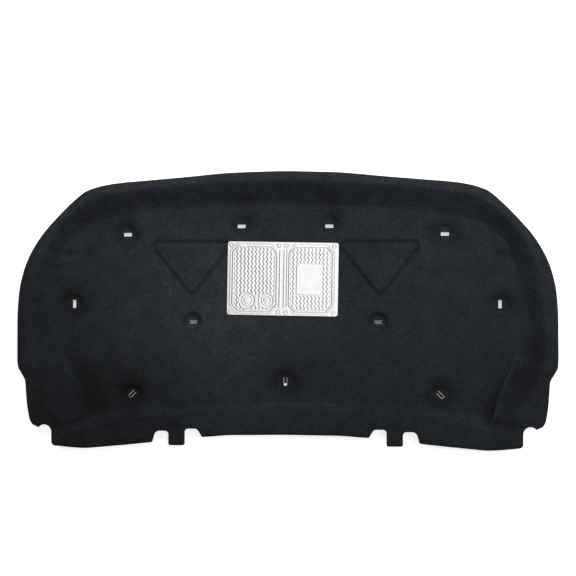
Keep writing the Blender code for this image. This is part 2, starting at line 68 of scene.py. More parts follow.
crowned_edge = (
    from_top(0.0, 0.0),
    from_top(0.069, 0.0014),
    from_top(0.1385, 0.0042),
    from_top(0.225, 0.0123),
    from_top(0.331, 0.0213),
    from_shoulder(0.252, 0.0247),
    from_shoulder(0.210, 0.0305),
    from_shoulder(0.175, 0.0400),
    from_shoulder(0.150, 0.0535),
    from_shoulder(0.1054, 0.0951),
    from_shoulder(0.0560, 0.1510),
    from_shoulder(0.0243, 0.2060),
    from_shoulder(0.0073, 0.2615),
    from_shoulder(0.0012, 0.3170),
    from_lobe(0.0002, 0.2600),
    from_lobe(0.0003, 0.1960),
    from_lobe(0.0073, 0.1776),
    from_lobe(0.0178, 0.1590),
    from_lobe(0.0200, 0.1380),
    from_lobe(0.0224, 0.1037),
    from_lobe(0.0276, 0.0690),
    from_lobe(0.0345, 0.0545),
)
lowest_edge = (
    from_lobe(0.1126, 0.0027),
    from_lobe(0.1400, 0.0005),
    from_lobe(0.1630, 0.0),
    from_lobe(0.1860, 0.0018),
    from_lobe(0.2210, 0.0050),
    from_lobe(0.2560, 0.0082),
)
edge_between_tabs = (
    from_bottom(0.1780, 0.0276),
    from_bottom(0.1600, 0.0290),
    from_bottom(0.1300, 0.0312),
    from_bottom(0.0690, 0.0320),
    from_bottom(0.0, 0.0327),
)
bite_centre = from_lobe(0.0625, 0.0380)
bite_radius = 0.0165
bite_start = math.radians(38)
bite_corner = (*from_lobe(0.0790, 0.0062), 0.009)
tab_centre = 0.2530
tab_outer_side = 0.2720
tab_inner_side = 0.2340
tab_and_arches = (
    (*from_bottom(0.3100, 0.0142), 0.004),
    (*from_bottom(0.3025, 0.0408), 0.013),
    (*from_bottom(tab_outer_side, 0.0408), 0.008),
    (*from_bottom(tab_outer_side, 0.0073), 0.005),
    (*from_bottom(tab_inner_side, 0.0073), 0.005),
    (*from_bottom(tab_inner_side, 0.0459), 0.008),
    (*from_bottom(0.2052, 0.0459), 0.010),
    (*from_bottom(0.1935, 0.0268), 0.004),
)
edge_step = 0.0032
corner_step = 0.0016


def smooth_line(points, pieces, closed=False):
    """Points along a smooth curve through the given ones, the same number in every span."""
    knots = np.array(points, float)
    count = len(knots)
    spans = count if closed else count - 1
    along = np.linspace(0, 1, pieces, endpoint=False)[:, None]
    curve = []
    for i in range(spans):
        if closed:
            a, b, c, d = (knots[(i + k) % count] for k in (-1, 0, 1, 2))
        else:
            b, c = knots[i], knots[i + 1]
            a = knots[i - 1] if i > 0 else 2 * b - c
            d = knots[i + 2] if i + 2 < count else 2 * c - b
        cubic = 3 * (b - c) + d - a
        square = 2 * a - 5 * b + 4 * c - d
        curve.append(0.5 * (2 * b + (c - a) * along + square * along**2 + cubic * along**3))
    if not closed:
        curve.append(knots[-1:])
    return np.concatenate(curve)


def even_line(points, step):
    """The same open line with its points a step apart."""
    lengths = np.r_[0, np.cumsum(np.linalg.norm(np.diff(points, axis=0), axis=1))]
    at = np.linspace(0, lengths[-1], max(2, round(lengths[-1] / step) + 1))
    return np.c_[np.interp(at, lengths, points[:, 0]), np.interp(at, lengths, points[:, 1])]


def arc(centre, radius, start, end, step):
    """Points along a circular arc, ends included."""
    count = max(3, math.ceil(abs(end - start) * radius / step) + 1)
    angles = np.linspace(start, end, count)
    return np.c_[centre[0] + radius * np.cos(angles), centre[1] + radius * np.sin(angles)]


def rounded(corners, step, closed=False):
    """A line through corners given as (x, y, radius), each one rounded to its radius."""
    points = np.array([corner[:2] for corner in corners], float)
    count = len(points)
    line = []
    for i, (corner, (_, _, radius)) in enumerate(zip(points, corners)):
        if not closed and i in (0, count - 1):
            line.append(corner[None])
            continue
        back = points[i - 1] - corner
        ahead = points[(i + 1) % count] - corner
        back /= np.linalg.norm(back)
        ahead /= np.linalg.norm(ahead)
        half = math.acos(max(-1.0, min(1.0, float(back @ ahead)))) / 2
        middle = corner + (back + ahead) / np.linalg.norm(back + ahead) * radius / math.sin(half)
        first = corner + back * radius / math.tan(half) - middle
        start = math.atan2(first[1], first[0])
        turn = math.pi - 2 * half
        if back[0] * ahead[1] - back[1] * ahead[0] > 0:
            turn = -turn
        line.append(arc(middle, radius, start, start + turn, step))
    return np.concatenate(line)


def spaced(line, step):
    """An open line with its long stretches cut up, and its own points kept."""
    parts = []
    for a, b in zip(line[:-1], line[1:]):
        count = max(1, round(float(np.linalg.norm(b - a)) / step))
        parts.append(a + (b - a) * (np.arange(count) / count)[:, None])
    return np.concatenate((*parts, line[-1:]))


def mirrored(points):
    """The same points on the other side of the centre line, in the opposite order."""
    return np.array(points, float)[::-1] * (-1, 1)


def cut_edge(step, fine):
    """The die cut, anticlockwise."""
    crown = np.concatenate((mirrored(crowned_edge)[:-1], np.array(crowned_edge)))
    crown = even_line(smooth_line(crown, 24), step)
    bite = arc(bite_centre, bite_radius, bite_start, math.pi, fine)
    lower = even_line(smooth_line(lowest_edge, 24), step)
    corner = rounded(((*bite[-1], 0), bite_corner, (*lower[0], 0)), fine)
    middle = np.concatenate((np.array(edge_between_tabs), mirrored(edge_between_tabs)[1:]))
    middle = even_line(smooth_line(middle, 24), step)
    tab = rounded(((*lower[-1], 0), *tab_and_arches, (*middle[0], 0)), fine)
    right = np.concatenate((bite[:-1], spaced(corner, step)[:-1], lower[:-1], spaced(tab, step)[:-1]))
    return np.concatenate((crown, right, middle, mirrored(right)))[::-1]


def nearest(points, line, closed=True):
    """For each point, its distance to a line and where on the line it is nearest, in segments."""
    start = line if closed else line[:-1]
    end = np.roll(line, -1, axis=0) if closed else line[1:]
    best = np.full(len(points), np.inf)
    place = np.zeros(len(points))
    x, y = points.T
    for i, ((ax, ay), (bx, by)) in enumerate(zip(start, end)):
        rx, ry = bx - ax, by - ay
        share = np.clip(((x - ax) * rx + (y - ay) * ry) / max(rx * rx + ry * ry, 1e-18), 0, 1)
        away = (x - ax - share * rx) ** 2 + (y - ay - share * ry) ** 2
        closer = away < best
        best[closer] = away[closer]
        place[closer] = i + share[closer]
    return np.sqrt(best), place


def inside(points, line):
    """Which points lie inside a closed line."""
    x, y = points.T
    found = np.zeros(len(points), bool)
    for (ax, ay), (bx, by) in zip(line, np.roll(line, -1, axis=0)):
        if ay == by:
            continue
        crosses = (ay > y) != (by > y)
        found ^= crosses & (x < ax + (y - ay) / (by - ay) * (bx - ax))
    return found


def ease(share):
    """A smooth step from 0 to 1."""
    share = np.clip(share, 0, 1)
    return share * share * (3 - 2 * share)


def dent(distance, radius):
    """1 at the middle of a round dent, falling smoothly to 0 at its radius."""
    return 1 - ease(distance / radius)


# Felt pad, the pressed tray. The die squeezes a flat middle panel, a sloping wall round it and a
# thin rim at the wall's lip. A wing in each lower corner is a shelf between the wall and a ridge.
panel_thickness = 0.012
rim_thickness = 0.004
full_climb = 0.022
rim_slope = 0.22
edge_roll_drop = 0.0015
edge_roll_width = 0.007
wall_stations = (
    (from_top(0.0, 0.0769), from_top(0.0, 0.0203), full_climb),
    (from_top(0.1385, 0.0792), from_top(0.1385, 0.0238), full_climb),
    (from_top(0.2660, 0.0872), from_top(0.2700, 0.0337), full_climb),
    (from_top(0.3210, 0.0900), from_top(0.3300, 0.0390), full_climb),
    (from_shoulder(0.2130, 0.1085), from_shoulder(0.1980, 0.0538), full_climb),
    (from_shoulder(0.1610, 0.1270), from_shoulder(0.1500, 0.0780), full_climb),
    (from_shoulder(0.1200, 0.1613), from_shoulder(0.1010, 0.1230), full_climb),
    (from_shoulder(0.1020, 0.2070), from_shoulder(0.0642, 0.1784), full_climb),
    (from_shoulder(0.0884, 0.2527), from_shoulder(0.0434, 0.2338), 0.021),
    (from_lobe(0.0725, 0.3280), from_lobe(0.0380, 0.3460), 0.020),
    (from_lobe(0.0640, 0.2770), from_lobe(0.0280, 0.2770), 0.020),
    (from_lobe(0.0803, 0.2250), from_lobe(0.0307, 0.2240), 0.019),
    (from_lobe(0.0872, 0.1731), from_lobe(0.0399, 0.1685), 0.018),
    (from_lobe(0.0757, 0.1223), from_lobe(0.0422, 0.1154), 0.016),
    (from_lobe(0.0803, 0.0935), from_lobe(0.0572, 0.0796), 0.013),
    (from_lobe(0.1057, 0.0715), from_lobe(0.0884, 0.0508), 0.011),
    (from_lobe(0.1426, 0.0610), from_lobe(0.1380, 0.0404), 0.009),
    (from_lobe(0.1842, 0.0727), from_lobe(0.1865, 0.0531), 0.008),
    (from_lobe(0.2326, 0.0854), from_lobe(0.2326, 0.0646), 0.008),
    (from_lobe(0.2673, 0.0923), from_lobe(0.2673, 0.0707), 0.006),
    (from_bottom(0.3139, 0.0992), from_bottom(0.3139, 0.0768), 0.005),
    (from_bottom(0.2539, 0.1004), from_bottom(0.2539, 0.0782), 0.004),
    (from_bottom(0.1514, 0.1039), from_bottom(0.1514, 0.0829), 0.003),
    (from_bottom(0.0, 0.1073), from_bottom(0.0, 0.0863), 0.003),
)
wing_top = np.array(from_lobe(0.0884, 0.2250))
wing_foot = np.array(from_lobe(0.1449, 0.0785))
wing_bow = 0.0056
wing_bank_widths = (0.013, 0.027)
wing_ridge_climb = 0.0050
wing_outer_climb = 0.0180
wing_shelf_width = 0.055
wing_crest_height = 0.0020
wing_crest_half_width = 0.0055
wing_fade_in = 0.045
wing_fade_out = 0.030
valley_depth = 0.0080
valley_reach = 0.105
valley_lead = 0.030
wall_straightness = 0.7
wedge_width = 0.006
wedge_growth = 0.034
crest_shift = 0.001
crest_highlight_half_width = 0.0045
crest_painted_highlight = 0.55
ledge_start = 0.012
ledge_end = 0.072
ledge_fade = 0.030
ledge_painted_shade = 0.80


def wall_lines():
    """The wall's foot and lip as matching closed lines, with the climb at each point."""
    foot, lip, climb = zip(*wall_stations)
    lines = []
    for right in (foot, lip, [(0, value) for value in climb]):
        right = np.array(right, float)
        left = right[-2:0:-1] * (-1, 1)
        lines.append(smooth_line(np.concatenate((right, left)), 10, closed=True))
    return lines[0], lines[1], lines[2][:, 1]


def wall_share(points):
    """How far up the wall each point is, from foot to lip, how far it is beyond the lip, and how
    far the wall climbs there."""
    foot, lip, climbs = wall_lines()
    to_foot, _ = nearest(points, foot)
    to_lip, place = nearest(points, lip)
    outside = ~inside(points, lip)
    share = to_foot / np.maximum(to_foot + to_lip, 1e-9)
    share[inside(points, foot)] = 0
    share[outside] = 1
    climb = np.interp(place, np.arange(len(climbs) + 1), (*climbs, climbs[0]))
    return share, to_lip * outside, climb


def wing_form(half):
    """How high a corner wing raises each point, how far the panel falls beside its ridge, and how
    much painted shade darkens the felt there, less along the crest, where a painted highlight
    lightens it."""
    length = np.linalg.norm(wing_foot - wing_top)
    down = (wing_foot - wing_top) / length
    along = (half - wing_top) @ down
    part = np.clip(along / length, 0, 1)
    across = (half - wing_top) @ (-down[1], down[0]) + wing_bow * 4 * part * (1 - part)
    bank = ease(1 + across / np.interp(part, (0, 1), wing_bank_widths))
    shelf = np.clip(across / wing_shelf_width, 0, 1)
    level = wing_ridge_climb + (wing_outer_climb - wing_ridge_climb) * shelf
    level += wing_crest_height * dent(np.abs(across), wing_crest_half_width)
    out = ease((length + wing_fade_out - along) / wing_fade_out)
    fall = ease(1 + across / valley_reach) * (1 - bank) * ease((along + valley_lead) / length)
    # Painted shade in the wedge beside the ridge and on the shelf, and a painted highlight on the
    # crest.
    wedge = ease(1 + across / (wedge_width + wedge_growth * part**2))
    wedge *= ease(0.5 - across / wedge_width) * ease(2 * part) * out
    crest = dent(np.abs(across - crest_shift), crest_highlight_half_width) * ease(6 * part) * out
    ledge = ease(across / ledge_start) * ease((ledge_end - across) / ledge_fade)
    ledge *= ease(along / wing_fade_in) * (1 - 0.6 * part)
    shade = wedge - crest_painted_highlight * crest + ledge_painted_shade * ledge
    return level * bank * ease(along / wing_fade_in) * out, valley_depth * fall * out, shade


def tray(points, edge):
    """Heights of both sides of the tray, before anything is pressed into it."""
    share, beyond, climb = wall_share(points)
    wing, fall, _ = wing_form(np.c_[np.abs(points[:, 0]), points[:, 1]])
    rise = wall_straightness * share + (1 - wall_straightness) * ease(share)
    to_edge, _ = nearest(points, edge)
    slope = rim_slope * (climb / full_climb) ** 2
    roll = edge_roll_drop * np.clip(1 - to_edge / edge_roll_width, 0, 1) ** 2
    top = panel_thickness + wing + (climb - wing) * rise - fall - slope * beyond - roll * share
    thickness = panel_thickness + (rim_thickness - panel_thickness) * ease(share)
    return top, np.maximum(top - thickness, 0)


# Felt pad, the press marks. Round dies squeeze a recess round each clip slot down to a thin floor,
# and the slots are punched through it. Two three-cornered beads beside the foil stiffen the panel.
slot_length = 0.0190
slot_width = 0.0080
slot_corner = 0.0016
recess_floor_thickness = 0.004
recess_floor_radius = 0.0130
recess_top_radius = 0.0255
wide_dish = (0.052, 0.0065)
small_dish = (0.034, 0.0040)
tight_dish = (0.029, 0.0030)
upright = math.pi / 2
whole_tongue = (-1, -0.0085)
half_tongue = (1, -0.0035)
short_tongue = (1, 0.0060)
clip_slots = []
for middle, turn, dish, tongue in (
    (from_shoulder(0.2567, 0.1449), 0.0, wide_dish, None),
    (from_top(0.1018, 0.1262), 0.0, small_dish, None),
    (from_top(0.2158, 0.3482), 0.0, tight_dish, short_tongue),
    (from_shoulder(0.1305, 0.3066), upright, wide_dish, None),
    (from_lobe(0.2670, 0.1257), -upright / 2, wide_dish, whole_tongue),
):
    clip_slots.append((middle, turn, dish, tongue))
    other = tongue and (-tongue[0], tongue[1])
    clip_slots.append(((-middle[0], middle[1]), -turn, dish, other))
clip_slots.append((from_bottom(0.0, 0.1554), upright, wide_dish, half_tongue))

foil_top_drop = 0.1634
bead_corner_radius = 0.011
bead_corners = (
    (*from_top(0.1180, foil_top_drop), bead_corner_radius),
    (*from_top(0.3185, foil_top_drop), bead_corner_radius),
    (*from_top(0.2180, foil_top_drop + 0.1270), bead_corner_radius),
)
bead_width = 0.0150
bead_depth = 0.0034
bead_line = rounded(bead_corners, corner_step, closed=True)
bead_line = spaced(np.concatenate((bead_line, bead_line[:1])), edge_step)[:-1]

trough_length = 0.044
trough = np.array(from_top(0.1018, 0.1262)) + ((0, 0), (0, trough_length))
trough_half_width = 0.040
trough_depth = 0.0065
pocket_centre = from_shoulder(0.1230, 0.1930)
pocket_radii = (0.032, 0.018)
pocket_depth = 0.0040
tab_well_centre = from_bottom(tab_centre, 0.056)
tab_well_radii = (0.028, 0.022)
tab_well_depth = 0.0050
fold_points = np.array((from_top(0.316, 0.167), from_top(0.302, 0.229), from_top(0.275, 0.275)))
fold_height = 0.0020
fold_half_width = 0.012
notch_crease = np.array((from_lobe(0.0400, 0.1750), from_lobe(0.0080, 0.1745)))
notch_crease_depth = 0.0018
notch_crease_half_width = 0.0038
foil_crease = np.array(((0.158, 0.0188), (0.305, 0.0188)))
foil_crease_depth = 0.0008
foil_crease_half_width = 0.0042
lower_fold = np.array(((-0.050, -0.2185), (0.115, -0.2190)))
lower_fold_height = 0.0007
lower_fold_half_width = 0.0045
thinnest = 0.003
surface_waves = ((0.00035, 0.085, 1), (0.00018, 0.031, 2), (0.00007, 0.011, 3))
noise_cells = 512
noise_shift = 200


def round_mark(half, middle, radii):
    """1 at the middle of an oval mark, falling smoothly to 0 at its edge."""
    return dent(np.hypot(*((half - middle) / radii).T), 1.0)


def long_mark(half, line, half_width):
    """1 along a line, falling smoothly to 0 at a half width from it."""
    return dent(nearest(half, line, closed=False)[0], half_width)


def soft_noise(points, size, seed):
    """Smooth bumps of about the given size, between -1 and 1."""
    lattice = np.random.default_rng(seed).uniform(-1, 1, (noise_cells, noise_cells))
    place = points / size + noise_shift
    low = np.floor(place).astype(int)
    u, v = ease(place - low).T
    a = lattice[low[:, 0], low[:, 1]]
    b = lattice[low[:, 0] + 1, low[:, 1]]
    c = lattice[low[:, 0], low[:, 1] + 1]
    d = lattice[low[:, 0] + 1, low[:, 1] + 1]
    return (a * (1 - u) + b * u) * (1 - v) + (c * (1 - u) + d * u) * v


def pressed_top(points, edge):
    """Heights of the side that faces the engine."""
    top, under = tray(points, edge)
    half = np.c_[np.abs(points[:, 0]), points[:, 1]]
    to_bead, _ = nearest(half, bead_line)
    top -= bead_depth * dent(to_bead, bead_width / 2)
    top -= pocket_depth * round_mark(half, pocket_centre, pocket_radii)
    top -= tab_well_depth * round_mark(half, tab_well_centre, tab_well_radii)
    top -= trough_depth * long_mark(half, trough, trough_half_width)
    top -= notch_crease_depth * long_mark(half, notch_crease, notch_crease_half_width)
    top -= foil_crease_depth * long_mark(points, foil_crease, foil_crease_half_width)
    top += lower_fold_height * long_mark(points, lower_fold, lower_fold_half_width)
    top += fold_height * long_mark(half, fold_points, fold_half_width)
    for height, size, seed in surface_waves:
        top += height * soft_noise(points, size, seed)
    top = np.maximum(top, under + thinnest)
    for middle, _, (dish_radius, dish_depth), _ in clip_slots:
        away = np.hypot(*(points - middle).T)
        top -= dish_depth * dent(away, dish_radius)
        wall = (away - recess_floor_radius) / (recess_top_radius - recess_floor_radius)
        top += (recess_floor_thickness - top) * (1 - ease(wall))
    return top


def pressed_under(points, edge):
    """Heights of the side that lies against the hood."""
    return tray(points, edge)[1]


# Felt pad, the painted shades. Painted shade darkens the felt on the walls, along the beads, round
# the recesses, and in the troughs, creases and wing valleys. It stands partly for felt that the dies
# squeeze darker. Painted highlights lighten the lip, the ridges and the recess floors. A painted
# patch, given by its middle, half sizes and strength, adds painted shade, or painted light where its
# strength is below 0.
wall_painted_shade = 0.30
lip_painted_highlight = 0.22
lip_start = 0.8
lip_fade = 0.15
lower_fold_painted_highlight = 0.50
left_wing_shade_share = 0.4
right_valley_painted_shade = 0.35
left_valley_painted_shade = 0.50
bead_press_and_shade = 0.60
bead_shade_reach = 0.6
tab_well_painted_shade = 0.65
trough_painted_shade = 0.30
notch_crease_painted_shade = 0.80
foil_crease_painted_shade = 0.15
dish_painted_shade = 80
recess_painted_highlight = 0.85
recess_highlight_radius = 0.0200
ring_painted_shade = 0.40
ring_radius = 0.0200
ring_half_width = 0.0060
most_painted_light = -0.5
painted_light_and_shade = (
    ((-0.072, 0.222), (0.024, 0.040), 0.45),
    ((0.122, 0.222), (0.024, 0.040), 0.45),
    ((0.5050, 0.1270), (0.032, 0.018), 0.35),
    ((0.5767, -0.0807), (0.034, 0.055), 0.45),
    ((0.0150, -0.1500), (0.150, 0.110), 0.42),
    ((-0.4000, -0.2150), (0.290, 0.180), 0.62),
    ((-0.5300, -0.0200), (0.120, 0.180), 0.20),
    ((0.5700, -0.1400), (0.080, 0.120), 0.35),
    ((-0.5450, 0.1900), (0.110, 0.110), -0.60),
)


def painted_shade(points):
    """How much painted shade darkens each point, partly for felt that the dies squeeze: 0 on the open
    panel, 1 where the felt is darkest, and less than 0 where a painted highlight lightens it, on the
    ridges and the recess floors."""
    share, _, climb = wall_share(points)
    half = np.c_[np.abs(points[:, 0]), points[:, 1]]
    _, fall, shade = wing_form(half)
    # Painted shade on the sloping wall, partly for the pressed felt there.
    shading = wall_painted_shade * 4 * share * (1 - share) * (climb / full_climb) ** 2
    # Painted highlight along the lip of the wall, on the upper half of the pad.
    shading -= lip_painted_highlight * ease((share - lip_start) / (1 - lip_start)) * ease(points[:, 1] / lip_fade)
    # Painted highlight along the low fold in the lower panel.
    shading -= lower_fold_painted_highlight * long_mark(points, lower_fold, lower_fold_half_width)
    on_right = points[:, 0] > 0
    # The wing's painted shade is weaker on the left, and the painted shade in the valley is stronger
    # there.
    shading += np.where(on_right, 1.0, left_wing_shade_share) * shade
    shading += np.where(on_right, right_valley_painted_shade, left_valley_painted_shade) * fall / valley_depth
    # Painted shade along the beads, partly for the pressed felt in them.
    shading += bead_press_and_shade * dent(nearest(half, bead_line)[0], bead_shade_reach * bead_width)
    # Patches of painted shade, and of painted light where the strength is below 0.
    for middle, radii, much in painted_light_and_shade:
        shading += much * round_mark(points, middle, radii)
    # Painted shade in the tab wells, the troughs and the creases.
    shading += tab_well_painted_shade * round_mark(half, tab_well_centre, tab_well_radii)
    shading += trough_painted_shade * long_mark(half, trough, trough_half_width)
    shading += notch_crease_painted_shade * long_mark(half, notch_crease, notch_crease_half_width)
    shading += foil_crease_painted_shade * long_mark(points, foil_crease, foil_crease_half_width)
    # Round each clip slot there is a halo of painted shade over its dish and a painted highlight on
    # the recess floor. The middle slots also get a ring of painted shade.
    for middle, _, dish, _ in clip_slots:
        dish_radius, dish_depth = dish
        away = np.hypot(*(points - middle).T)
        shading += dish_painted_shade * dish_depth * np.minimum(1, 2.0 * dent(away, dish_radius))
        shading -= recess_painted_highlight * dent(away, recess_highlight_radius)
        if dish == tight_dish:
            shading += ring_painted_shade * dent(np.abs(away - ring_radius), ring_half_width)
    return np.clip(shading, most_painted_light, 1)


# Felt pad, the mesh. Fine enough to hold every press mark, with rings of points round the
# recesses and rows of points along the beads, and an upright cut edge round the pad and slots.
fine_grid = 0.0038
coarse_grid = 0.0080
tongue_gap = 0.0010
tongue_corner = 0.0004
inner_ring = 0.0125
outer_ring = 0.0260
ring_step = 0.0016
ring_spacing = 0.0020
bead_rows = (-1.35, -1.0, -0.66, -0.33, 0, 0.33, 0.66, 1.0, 1.35)
ridge_rows = (-0.0070, -0.0052, -0.0034, -0.0017, 0.0, 0.0017, 0.0034, 0.0052, 0.0070)
sharpest_bend = math.radians(50)


def filled(loops, points):
    """Triangles inside the first loop and outside the others, over all the points."""
    edges = []
    first = 0
    for loop in loops:
        count = len(loop)
        edges += [(first + i, first + (i + 1) % count) for i in range(count)]
        first += count
    every = np.concatenate((*loops, points))
    flat, _, faces, origins, _, _ = delaunay_2d_cdt(every.tolist(), edges, [], 0, 1e-7)
    flat = np.array([tuple(point) for point in flat])
    faces = np.array(faces)
    centres = flat[faces].mean(axis=1)
    keep = inside(centres, loops[0])
    for loop in loops[1:]:
        low, high = loop.min(axis=0), loop.max(axis=0)
        near = np.flatnonzero(((centres > low) & (centres < high)).all(axis=1))
        keep[near[inside(centres[near], loop)]] = False
    place = {origin: i for i, found in enumerate(origins) for origin in found}
    return flat, faces[keep], [place[i] for i in range(first)]


def sheet_mesh(name, loops, top_points, top_height, under_points, under_height):
    """A closed sheet between two height functions, cut upright along its loops."""
    top_flat, top_faces, top_rim = filled(loops, top_points)
    under_flat, under_faces, under_rim = filled(loops, under_points)
    top = np.c_[top_flat, top_height(top_flat)]
    under = np.c_[under_flat, under_height(under_flat)]
    shift = len(top)
    faces = top_faces.tolist() + (under_faces[:, ::-1] + shift).tolist()
    first = 0
    for loop in loops:
        count = len(loop)
        for i in range(first, first + count):
            j = first + (i - first + 1) % count
            faces.append((top_rim[i], shift + under_rim[i], shift + under_rim[j], top_rim[j]))
        first += count
    mesh = bpy.data.meshes.new(name)
    mesh.from_pydata(np.concatenate((top, under)).tolist(), [], faces)
    mesh.shade_smooth()
    mesh.set_sharp_from_angle(angle=sharpest_bend)
    piece = bpy.data.objects.new(name, mesh)
    bpy.context.scene.collection.objects.link(piece)
    return piece


def slot_edge(middle, turn, tongue):
    """The punched edge of a slot, clockwise. A tongue of felt that hangs on one end of the slot,
    given by that end's side and by where its tip is, leaves a narrow gap on both its sides."""
    x, y = slot_length / 2, slot_width / 2
    corners = [(x, y, slot_corner), (-x, y, slot_corner), (-x, -y, slot_corner), (x, -y, slot_corner)]
    root, tip = tongue or (1, 0)
    if tongue:
        side = y - tongue_gap
        corners[0] = (x, y, tongue_corner)
        corners[3] = (x, -y, tongue_corner)
        ends = ((x, -1), (tip, -1), (tip, 1), (x, 1))
        corners += [(place, way * side, tongue_corner) for place, way in ends]
    box = rounded(corners, corner_step, closed=True)
    box = spaced(np.concatenate((box, box[:1])), corner_step)[:-1] * (root, 1)
    box = box[::root]
    cos, sin = math.cos(turn), math.sin(turn)
    return (box @ np.array(((cos, sin), (-sin, cos))) + middle)[::-1]


def plain_grid(step):
    """Points in staggered rows over the whole blank."""
    x = np.arange(-pad_width / 2, pad_width / 2 + step, step)
    y = np.arange(-pad_depth / 2, pad_depth / 2 + step, step * math.sqrt(0.75))
    grid = np.stack(np.meshgrid(x, y), axis=-1)
    grid[1::2, :, 0] += step / 2
    return grid.reshape(-1, 2)


ridge_length = np.linalg.norm(wing_foot - wing_top)
ridge_part = np.linspace(0, 1, round(ridge_length / edge_step))[:, None]
ridge_side = np.array((wing_top[1] - wing_foot[1], wing_foot[0] - wing_top[0])) / ridge_length
ridge_line = wing_top + (wing_foot - wing_top) * ridge_part
ridge_line = ridge_line - ridge_side * wing_bow * 4 * ridge_part * (1 - ridge_part)


def press_mark_points():
    """Rings of points round the recesses and rows of points along the beads and the ridges."""
    marks = []
    for middle, *_ in clip_slots:
        for radius in np.arange(inner_ring, outer_ring, ring_step):
            around = 2 * math.pi * radius
            count = round(around / ring_spacing)
            marks.append(arc(middle, radius, 0, 2 * math.pi * (1 - 1 / count), around / count))
    rows = []
    run = np.roll(bead_line, -1, axis=0) - np.roll(bead_line, 1, axis=0)
    side = np.c_[-run[:, 1], run[:, 0]] / np.linalg.norm(run, axis=1)[:, None]
    for row in bead_rows:
        rows.append(bead_line + side * row * bead_width / 2)
    for row in ridge_rows:
        rows.append(ridge_line + ridge_side * row)
    for right in rows:
        marks += [right, right * (-1, 1)]
    return np.concatenate(marks)


def clear_of_marks(points):
    """Which points lie away from the finer rings and rows."""
    clear = np.ones(len(points), bool)
    for middle, *_ in clip_slots:
        clear &= np.hypot(*(points - middle).T) > outer_ring + fine_grid / 2
    half = np.c_[np.abs(points[:, 0]), points[:, 1]]
    clear &= nearest(half, ridge_line, closed=False)[0] > ridge_rows[-1] + fine_grid / 2
    return clear & (nearest(half, bead_line)[0] > bead_rows[-1] * bead_width / 2 + fine_grid / 2)


pad_edge = cut_edge(edge_step, corner_step)
pad_loops = [pad_edge]
for middle, turn, _, tongue in clip_slots:
    pad_loops.append(slot_edge(middle, turn, tongue))
fine_points = plain_grid(fine_grid)
fine_points = fine_points[inside(fine_points, pad_edge) & clear_of_marks(fine_points)]
fine_points = fine_points[nearest(fine_points, pad_edge)[0] > fine_grid / 2]
fine_points = np.concatenate((fine_points, press_mark_points()))
coarse_points = plain_grid(coarse_grid)
coarse_points = coarse_points[inside(coarse_points, pad_edge)]
coarse_points = coarse_points[nearest(coarse_points, pad_edge)[0] > coarse_grid / 3]
for middle, *_ in clip_slots:
    coarse_points = coarse_points[np.hypot(*(coarse_points - middle).T) > inner_ring]
felt = sheet_mesh(
    "moulded_felt",
    pad_loops,
    fine_points,
    lambda flat: pressed_top(flat, pad_edge),
    coarse_points,
    lambda flat: pressed_under(flat, pad_edge),
)
# Painted light and shade for the felt, kept at each point so that its finish can darken the colour by
# it.
felt_places = np.array([vertex.co[:2] for vertex in felt.data.vertices])
felt_painted_shade = felt.data.attributes.new("painted_shade", "FLOAT", "POINT")
felt_painted_shade.data.foreach_set("value", painted_shade(felt_places).astype(np.float32))


# Felt pad, the finish. Black and charcoal fibres needled together: matt, a little lighter where a
# fibre crosses the surface, cloudy where the needling is uneven, and faintly fuzzy at the edge.
felt_clouds = ((26, 5, 0.22), (150, 3, 0.30), (430, 2, 0.48))
felt_fuzz = ((700, 3, 0.5), (160, 2, 0.6))
strand_turns = (0.2, 1.2, 2.3)
strand_part = 0.10
painted_shade_strength = 0.5
felt_stuff = bpy.data.materials.new("charcoal_needle_felt")
felt_stuff.use_nodes = True
felt_nodes = felt_stuff.node_tree.nodes
felt_links = felt_stuff.node_tree.links
felt_shader = felt_nodes["Principled BSDF"]
felt_shader.inputs["Roughness"].default_value = 0.95
felt_shader.inputs["Specular IOR Level"].default_value = 0.04
felt_shader.inputs["Sheen Weight"].default_value = 0.05
felt_shader.inputs["Sheen Roughness"].default_value = 0.45
felt_shader.inputs["Sheen Tint"].default_value = (0.75, 0.85, 1.0, 1)
felt_place = felt_nodes.new("ShaderNodeTexCoord").outputs["Object"]


def felt_grain(scale, detail, stretch=(1, 1, 1), turn=0.0):
    """Noise through the felt, drawn out along one direction where the fibres run."""
    mapping = felt_nodes.new("ShaderNodeMapping")
    mapping.inputs["Rotation"].default_value = (0, 0, turn)
    mapping.inputs["Scale"].default_value = stretch
    felt_links.new(felt_place, mapping.inputs["Vector"])
    noise = felt_nodes.new("ShaderNodeTexNoise")
    noise.inputs["Scale"].default_value = scale
    noise.inputs["Detail"].default_value = detail
    noise.inputs["Roughness"].default_value = 0.6
    felt_links.new(mapping.outputs["Vector"], noise.inputs["Vector"])
    return noise.outputs["Fac"]


def felt_math(operation, first, second):
    """One sum or product of two sockets or numbers."""
    node = felt_nodes.new("ShaderNodeMath")
    node.operation = operation
    for socket, value in zip(node.inputs, (first, second)):
        if isinstance(value, (int, float)):
            socket.default_value = value
        else:
            felt_links.new(value, socket)
    return node.outputs["Value"]


